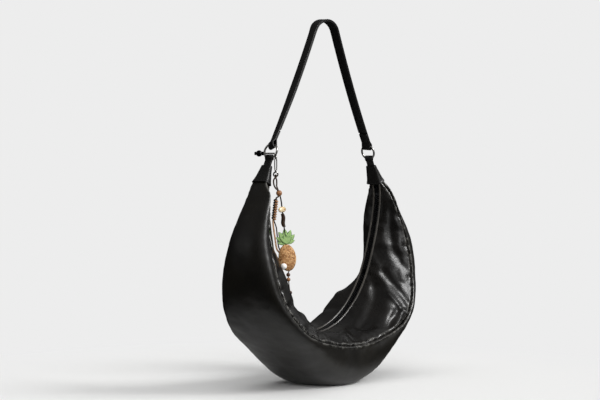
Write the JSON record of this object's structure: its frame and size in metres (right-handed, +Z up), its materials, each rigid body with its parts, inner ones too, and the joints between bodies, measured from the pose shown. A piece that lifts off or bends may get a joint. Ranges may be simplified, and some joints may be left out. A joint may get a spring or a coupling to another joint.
{
  "type": "half moon shoulder bag",
  "caption": "Crescent shoulder bag in crinkled black leather, zipped along its inner curve, with end caps, rings, a folding strap and a hanging beaded charm",
  "frame": {"origin": "middle of the bag's footprint on the floor", "axes": "+Z up, +X along the crescent towards the ring without the charm, +Y towards the back panel"},
  "size_m": [0.4086, 0.1381, 0.5441],
  "materials": {
    "black_leather": "glossy, softly crinkled",
    "lining_fabric": "matte woven",
    "zip_tape": "matte woven",
    "black_metal": "satin",
    "bright_metal": "polished",
    "dark_cord": "waxed cord",
    "black_cord": "waxed cord",
    "tan_cord": "flat braided cord",
    "wood": "satin",
    "dark_wood": "satin",
    "shell": "glossy, mottled",
    "leaf": "stitched felt",
    "cork": "rough cork",
    "pearl": "pearly"
  },
  "bodies": {
    "bag": {"outer_panel": "black_leather", "front_panel": "black_leather", "back_panel": "black_leather", "lining": "lining_fabric", "zip_tape_front": "zip_tape", "zip_tape_back": "zip_tape", "zip_teeth_front": "black_metal", "zip_teeth_back": "black_metal", "zip_end_stops": "black_metal", "left_end_cap": "black_leather", "right_end_cap": "black_leather", "left_ring_tab": "black_leather", "right_ring_tab": "black_leather", "left_ring": "bright_metal", "right_ring": "bright_metal"},
    "slider": {"zip_slider": "black_metal"},
    "pull": {"zip_pull": "black_metal"},
    "strap": {"strap": "black_leather", "strap_lining": "black_leather"},
    "hook": {"charm_hook": "bright_metal", "charm_knob": "black_metal"},
    "string": {"cord_loop": "dark_cord", "top_bead": "wood", "braid": "dark_cord", "tan_cord": "tan_cord", "black_cord": "black_cord", "side_cord": "black_cord", "shell_toggle": "shell", "wrapped_bead": "dark_cord", "leaf_crown": "leaf", "pineapple": "cork", "pearl": "pearl", "tail_cord": "dark_cord", "brown_bead": "dark_wood", "tan_bead": "wood", "tail_bead": "dark_wood"}
  },
  "joints": [
    {"name": "strap_swing", "type": "hinge", "parent": "bag", "child": "strap", "pos_m": [0, 0.003, 0.346], "axis": [1, 0, 0], "range_deg": [-70, 66]},
    {"name": "zip_slide", "type": "hinge", "parent": "bag", "child": "slider", "pos_m": [0, 0, 0.197], "axis": [0, -0.9903, -0.1392], "range_deg": [0, 138.9]},
    {"name": "pull_swing", "type": "hinge", "parent": "slider", "child": "pull", "pos_m": [-0.11237, 0.00586, 0.15529], "axis": [0, -0.9903, -0.1392], "range_deg": [0, 150]},
    {"name": "hook_swing", "type": "hinge", "parent": "bag", "child": "hook", "pos_m": [-0.13, 0.003, 0.34203], "axis": [0.7986, -0.6018, 0], "range_deg": [-15, 15]},
    {"name": "string_swing", "type": "hinge", "parent": "hook", "child": "string", "pos_m": [-0.12241, -0.00272, 0.31203], "axis": [-0.6018, -0.7986, 0], "range_deg": [0, 60]}
  ]
}
